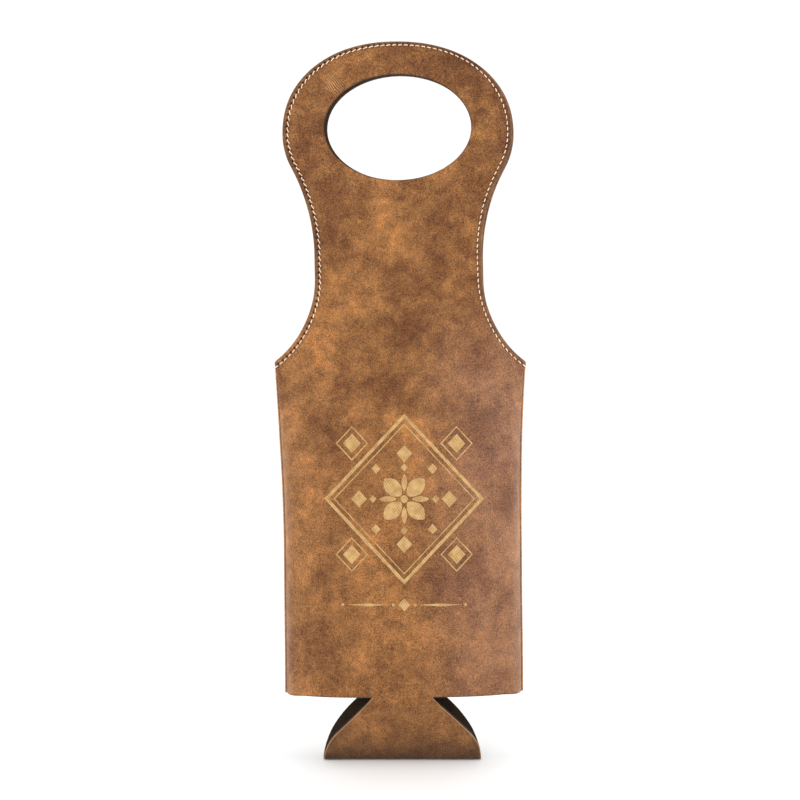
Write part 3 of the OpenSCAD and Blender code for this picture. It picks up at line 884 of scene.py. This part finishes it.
# Base. One round piece of the same three layers is folded in half along its middle and joins each wall
# at a narrow neck, where its leatherette runs on into the wall's. Its edge is cut raw and shows pale.
base_low, base_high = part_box("base_face")
base_r = 34.2 * MM
base_neck_hw = 17.2 * MM
crease_r = 2.6 * MM
base_drop = wall_bottom - base_low[2]
fold_tilt, flap = 0.45, 48 * MM
for _ in range(60):
    fold_v = np.linspace(0, flap, 400)
    turn_in = fold_tilt * (1 - rise(fold_v - flap, -8, 8))
    fold_lean = np.maximum(quarter_turn - fold_v / crease_r, turn_in)
    middle = (fold_lean[1:] + fold_lean[:-1]) / 2
    fold_y, fold_z = (np.concatenate([[0], np.cumsum(way(middle) * np.diff(fold_v))])
                      for way in (np.sin, np.cos))
    fold_tilt += (wall_bulge - fold_y[-1]) / flap
    flap += base_drop - fold_z[-1]
corner_x = base_high[0] - base_r
neck_way = math.hypot(base_neck_hw - corner_x, flap)
touch = math.atan2(flap, base_neck_hw - corner_x) - math.acos(base_r / neck_way)
touch_v, touch_x = base_r * math.sin(touch), corner_x + base_r * math.cos(touch)
tuck = 1.6 * MM


def base_sheet(name, off, thickness, trim):
    """Rows run from the front neck down the front half, round the crease and up the rear half."""
    near_neck = np.array([0, 0.4, 0.9, 1.5, 2.2]) * MM
    inner_rows, inner_cols, half_span = 100, 49, 47
    rows = np.concatenate([[-flap - tuck, -flap - tuck / 2], near_neck[:-1] - flap,
                           np.linspace(near_neck[-1] - flap, flap - near_neck[-1], inner_rows),
                           flap - near_neck[-2::-1], [flap + tuck / 2, flap + tuck]])
    edge = 1 - np.array([0, 0.35, 0.9, 1.6, 2.6]) / half_span
    across = np.concatenate([-edge, np.linspace(-0.9, 0.9, inner_cols), edge[::-1]])
    points, raw_gap, crease_gap = [], [], []
    for v in rows:
        s, over, rear = min(abs(v), flap), max(abs(v) - flap, 0), v > 0
        slant_x = touch_x + (base_neck_hw - touch_x) * (s - touch_v) / (flap - touch_v)
        hw = corner_x + math.sqrt(base_r**2 - s**2) if s < touch_v else slant_x
        hw += (0.3 + 2.4 * math.exp(-(((s / MM - 30) / 11) ** 2)) if rear else 0.5 * s / flap) * MM - trim
        y, z, lean = (float(np.interp(s, fold_v, k)) for k in (fold_y, fold_z, fold_lean))
        x = across * hw
        follow = depth(x, np.full(len(x), wall_bottom), rear) - wall_bulge
        out = y + follow * rise(s - flap, -26, 26) - off * math.cos(lean) - 0.04 * MM * (over > 0)
        shift = (1.1 + (0 if rear else 0.8 * math.sin(math.pi * s / flap))) * MM
        level = wall_bottom - fold_z[-1] + z + over + off * math.sin(lean)
        points += [(a + shift, b if rear else -b, level) for a, b in zip(x, out)]
        raw_gap += list(hw - np.abs(x) + (99 if over else 0))
        crease_gap += [s] * len(x)
    cols = len(across)
    faces = [
        [a, a + cols, a + cols + 1, a + 1]
        for i in range(len(rows) - 1) for a in range(i * cols, i * cols + cols - 1)
    ]
    points, raw_gap, crease_gap = np.array(points), np.array(raw_gap), np.array(crease_gap)
    piece = new_piece(name, points, faces, {
        "edge_near": fade(raw_gap, 0.3),
        # crease_painted_shade: painted shade, strongest along the crease and fading up both halves
        "crease_painted_shade": 0.35 * fade(crease_gap, 2.5) + 0.85 * fade(crease_gap, 18),
    })
    if off == 0:
        still = rise(flap - crease_gap, 0, 10) * rise(crease_gap, 0, 6)
        push_out(piece, 0.6 * wave(points) * still - 0.1 * MM * np.exp(-raw_gap / (0.3 * MM)))
    thicken(piece, thickness)
    return piece


base_skin = base_sheet("base_leatherette", 0, face_t, 0)
base_foam = base_sheet("base_foam_layer", face_t + ply_gap, foam_t - 2 * ply_gap, 0.15 * MM)
base_lining = base_sheet("base_lining_cloth", face_t + foam_t, lining_t, 0.15 * MM)

# The base's leatherette is the walls', with painted shade darkening it towards the crease that it stands on
base_leatherette = leatherette.copy()
base_leatherette.name = "creased_leatherette"
tree = base_leatherette.node_tree
shader = next(n for n in tree.nodes if n.type == "BSDF_PRINCIPLED")
colour = shader.inputs["Base Color"].links[0].from_socket
for key, strength, tint in (("crease_painted_shade", 0.85, "1C110B"), ("edge_near", 0.8, "BE9370")):
    mark = add(tree, "Attribute", out="Fac", attribute_name=key)
    mark = add(tree, "Math", {0: mark, 1: strength}, operation="MULTIPLY")
    colour = add(tree, "Mix", {0: mark, 6: colour, 7: paint(tint)}, data_type="RGBA", out=2)
tree.links.new(colour, shader.inputs["Base Color"])

# Raw cut edge of the base, not sealed: the pale polyurethane core under the brown skin
pale_cut, tree, shader, place = new_finish("pale_cut_core", 0.8, 0.3)
fray = add(tree, "TexNoise", {"Vector": place, "Scale": 900, "Detail": 2})
colour = add(tree, "ValToRGB", {0: fray}, stops=[(0.3, "8F6848"), (0.7, "C99E7A")])
tree.links.new(colour, shader.inputs["Base Color"])

for piece, node_name, slot_name, finishes in (
    (base_skin, "base_face", "leatherette", (base_leatherette, knit, pale_cut)),
    (base_foam, "base_foam", "foam", (foam,)),
    (base_lining, "base_lining", "lining", (lining,)),
):
    for finish in finishes:
        piece.data.materials.append(finish)
    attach(piece, "sleeve")
    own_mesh(piece)
    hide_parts(node_name)

# Engraving on the front wall. A laser burns the leatherette's skin back to its tan ground. It is a plain
# design: a double lozenge frame round a four-petal flower, small lozenges about it, and a rule below.
mark_x, mark_z = 2.2 * MM, -222 * MM
rule_z = -62
cut_step, burn_lift = 3, 0.07 * MM


def burn(corners, x, z, width, height, turn=0.0, band=0.0, pointed=False):
    """A disc, lozenge or petal, or with a band a frame, flat and in millimetres from the mark's middle."""
    bpy.ops.mesh.primitive_circle_add(vertices=corners, radius=1, fill_type="NGON")
    shape = bpy.context.object
    for v in shape.data.vertices:
        if pointed:
            v.co.y *= max(0, 1 - v.co.x**2) ** 0.3
    shape.data.transform(Matrix.Diagonal((width * MM, height * MM, 1, 1)))
    if band:
        bpy.ops.object.mode_set(mode="EDIT")
        bpy.ops.mesh.select_all(action="SELECT")
        bpy.ops.mesh.inset(thickness=band * MM)
        bpy.ops.mesh.delete(type="FACE")
        bpy.ops.object.mode_set(mode="OBJECT")
    shape.data.transform(Matrix.Rotation(turn, 4, "Z"))
    stands = Matrix.Translation((mark_x + x * MM, 0, mark_z + z * MM))
    shape.data.transform(stands @ Matrix.Rotation(quarter_turn, 4, "X"))
    return shape


burnt = [burn(4, 0, 0, 47, 50, band=1.9), burn(4, 0, 0, 41.5, 44.2, band=0.6), burn(20, 0, 0, 2.2, 2.2)]
for k in range(4):
    turn = k * quarter_turn
    cross = turn + quarter_turn / 2
    way_x, way_z = math.cos(turn), math.sin(turn)
    cross_x, cross_z = math.cos(cross), math.sin(cross)
    burnt += [
        burn(24, 9.6 * cross_x, 9.6 * cross_z, 7, 4.6, cross, pointed=True),
        burn(16, 9.5 * way_x, 9.5 * way_z, 5, 1.7, turn, pointed=True),
        burn(4, 18.4 * way_x, 18.4 * way_z, 2.1, 2.3),
        burn(4, 26.5 * way_x, 26.5 * way_z, 4.6, 5),
        burn(4, 23.5 * cross_x, 25 * cross_z, 2.8, 3),
        burn(4, 43.5 * cross_x, 46 * cross_z, 5.2, 5.6),
        burn(4, 43.5 * cross_x, 46 * cross_z, 9.6, 10.2, band=0.7),
    ]
for sign in (-1, 1):
    burnt.append(burn(4, sign * 21, rule_z, 13, 0.9))
    burnt += [burn(16, sign * x, rule_z, 0.9, 0.9) for x in (6.4, 36)]
burnt.append(burn(4, 0, rule_z, 3.6, 3.8))
for shape in burnt:
    shape.select_set(True)
engraving = burnt[0]
bpy.context.view_layer.objects.active = engraving
bpy.ops.object.join()
engraving.name = "front_engraving"
bpy.ops.object.mode_set(mode="EDIT")
for axis, lowest, highest in ((0, -60, 64), (2, -296, -156)):
    for cut in range(lowest, highest, cut_step):
        spot = [0, 0, 0]
        spot[axis] = cut * MM
        bpy.ops.mesh.select_all(action="SELECT")
        bpy.ops.mesh.bisect(plane_co=spot, plane_no=(axis == 0, 0, axis == 2))
bpy.ops.object.mode_set(mode="OBJECT")
wall_surface = BVHTree.FromPolygons(
    [v.co.copy() for v in front_skin.data.vertices], [list(f.vertices) for f in front_skin.data.polygons])
for v in engraving.data.vertices:
    hit = wall_surface.ray_cast(Vector((v.co.x, -0.1, v.co.z)), Vector((0, 1, 0)))[0]
    v.co = hit - Vector((0, burn_lift, 0))
engraving.data.shade_smooth()
engraving.select_set(False)

# Polyurethane burnt back by the laser: a matt gold tan, with the beam's wavy scan lines 1.2 mm apart
burnt_ground, tree, shader, place = new_finish("laser_burnt_ground", 0.7, 0.25)
turned = add(tree, "Mapping", {"Vector": place, "Rotation": (0, math.radians(38), 0)})
scan = add(tree, "TexWave", {"Vector": turned, "Scale": 260, "Distortion": 3.0, "Detail": 2,
                             "Detail Scale": 1.2}, out="Fac")
blot = add(tree, "TexNoise", {"Vector": place, "Scale": 300, "Detail": 3})
tint = add(tree, "Math", {0: scan, 1: 0.3, 2: blot}, operation="MULTIPLY_ADD")
colour = add(tree, "ValToRGB", {0: tint}, stops=[(0.35, "977246"), (0.85, "C4A16C"), (0.6, "B08A56")])
tree.links.new(colour, shader.inputs["Base Color"])
engraving.data.materials.append(burnt_ground)
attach(engraving, "sleeve")

# Studio. A pale matt floor lies under the base's crease, in soft light from all sides, with a broad
# lamp above and left of the camera and a tall strip on each side for the sheen along the walls.
bpy.ops.mesh.primitive_circle_add(vertices=96, radius=8, fill_type="NGON")
floor = bpy.context.object
floor.name = "studio_floor"
floor.data.transform(Matrix.Translation((0, 0, base_low[2] - 0.2 * MM)))
pale_floor, tree, shader, place = new_finish("pale_matt_floor", 0.9, 0.2)
wash = add(tree, "TexNoise", {"Vector": place, "Scale": 6, "Detail": 2})
colour = add(tree, "ValToRGB", {0: wash}, stops=[(0.3, "FAFAFA"), (0.7, "FDFDFD")])
tree.links.new(colour, shader.inputs["Base Color"])
floor.data.materials.append(pale_floor)

scene = bpy.context.scene
aim = Vector((0, 0, -0.16))
for name, stands, size, power in (
    ("front_lamp", (-0.5, -1.9, 0.0), (1.4, 1.2), 9),
    ("right_strip", (1.5, -0.2, -0.28), (0.8, 1.3), 24),
    ("left_strip", (-1.5, -0.3, -0.25), (0.8, 1.2), 13),
):
    lamp_data = bpy.data.lights.new(name, "AREA")
    lamp_data.shape = "RECTANGLE"
    lamp_data.size, lamp_data.size_y = size
    lamp_data.energy = power
    lamp = bpy.data.objects.new(name, lamp_data)
    lamp.location = stands
    lamp.rotation_euler = (aim - Vector(stands)).to_track_quat("-Z", "Y").to_euler()
    scene.collection.objects.link(lamp)

world = bpy.data.worlds.new("soft_box")
world.use_nodes = True
backdrop = world.node_tree.nodes["Background"].inputs
backdrop[0].default_value = (1, 1, 1, 1)
backdrop[1].default_value = 1.08
scene.world = world
scene.view_settings.view_transform = "Standard"

camera_data = bpy.data.cameras.new("camera")
camera_data.sensor_width = 36
camera_data.sensor_fit = "HORIZONTAL"
camera_data.lens = 54.7
camera = bpy.data.objects.new("camera", camera_data)
camera.location = (-0.3 * MM, -0.733, -0.164)
camera.rotation_euler = (quarter_turn, 0, 0)
scene.collection.objects.link(camera)
scene.camera = camera
